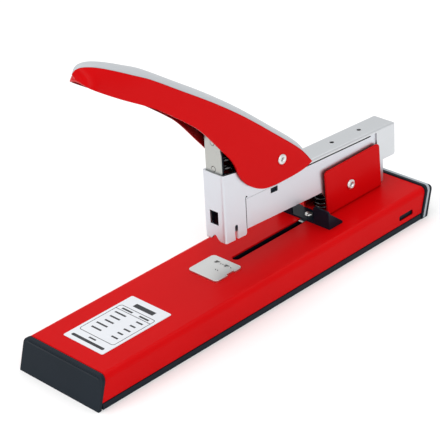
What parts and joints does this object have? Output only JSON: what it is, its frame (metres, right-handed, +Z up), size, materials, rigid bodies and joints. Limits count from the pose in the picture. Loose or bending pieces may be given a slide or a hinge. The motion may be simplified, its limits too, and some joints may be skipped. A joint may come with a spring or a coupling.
{
  "type": "heavy duty stapler",
  "caption": "Long pressed steel base with an anvil, a sliding paper guide and a hinged magazine head that a curved lever handle presses down",
  "frame": {"origin": "centre of the footprint on the desk, at the height of the desk", "axes": "+Z up, +X along the base from the paper end to the hinge end, +Y across the base"},
  "size_m": [0.2864, 0.0706, 0.1838],
  "materials": {
    "red_enamel": "gloss enamel",
    "black_plastic": "moulded satin",
    "grey_plastic": "moulded semi-gloss",
    "nickel_plate": "bright plated",
    "zinc_plate": "satin plated",
    "bright_steel": "polished",
    "black_steel": "black oxide, semi-gloss",
    "printed_film": "printed film"
  },
  "bodies": {
    "base": {"base_shell": "red_enamel", "base_tray": "black_plastic", "tray_screw_1": "zinc_plate", "tray_screw_2": "zinc_plate", "tray_screw_3": "zinc_plate", "tray_screw_4": "zinc_plate", "base_spine": "zinc_plate", "front_end_cap": "black_plastic", "rear_end_cap": "black_plastic", "anvil_plate": "bright_steel", "anvil_rivet_1": "zinc_plate", "anvil_rivet_2": "zinc_plate", "capacity_label": "printed_film", "hinge_bracket": "red_enamel", "bracket_rivet_1": "zinc_plate", "bracket_rivet_2": "zinc_plate", "head_hinge_rivet": "bright_steel", "head_return_spring": "black_steel"},
    "guide": {"paper_guide": "black_steel", "guide_rivet": "bright_steel", "guide_spring_washer": "black_steel"},
    "head": {"head_frame": "nickel_plate", "staple_rail": "zinc_plate", "staple_strip": "bright_steel", "spring_deck": "zinc_plate", "spring_post": "black_steel", "handle_return_spring": "black_steel"},
    "cover": {"magazine_cover": "zinc_plate", "follower_rod": "bright_steel", "follower_spring": "black_steel"},
    "follower": {"follower": "black_plastic"},
    "handle": {"handle_shell": "red_enamel", "handle_cover": "grey_plastic", "press_cam": "black_steel", "handle_hinge_rivet": "bright_steel"},
    "driver": {"driver_blade": "bright_steel", "driver_carrier": "black_steel", "driver_rivet_1": "bright_steel", "driver_rivet_2": "bright_steel"}
  },
  "joints": [
    {"name": "head_pitch", "type": "hinge", "parent": "base", "child": "head", "pos_m": [0.094, 0, 0.0336], "axis": [0, -1, 0], "range_deg": [0, 9], "stiffness_Nm_per_rad": 1.2, "springref_deg": -34.38, "deforming": ["head_return_spring"]},
    {"name": "handle_pitch", "type": "hinge", "parent": "head", "child": "handle", "pos_m": [0.03603, 0, 0.0752], "axis": [0, -1, 0], "range_deg": [0, 30], "stiffness_Nm_per_rad": 1.5, "springref_deg": -20.05},
    {"name": "driver_slide", "type": "slide", "parent": "head", "child": "driver", "axis": [-0.0558, 0, -0.9984], "range_m": [0, 0.025], "deforming": ["handle_return_spring"]},
    {"name": "cover_slide", "type": "slide", "parent": "head", "child": "cover", "axis": [0.9984, 0, -0.0558], "range_m": [0, 0.07]},
    {"name": "follower_slide", "type": "slide", "parent": "head", "child": "follower", "axis": [0.9984, 0, -0.0558], "range_m": [0, 0.07]},
    {"name": "guide_slide", "type": "slide", "parent": "base", "child": "guide", "axis": [-1, 0, 0], "range_m": [0, 0.056]}
  ],
  "couplings": [
    {"joint": "driver_slide", "follows": "handle_pitch", "m_per_rad": 0.047633},
    {"joint": "follower_slide", "follows": "cover_slide", "ratio": 1}
  ]
}
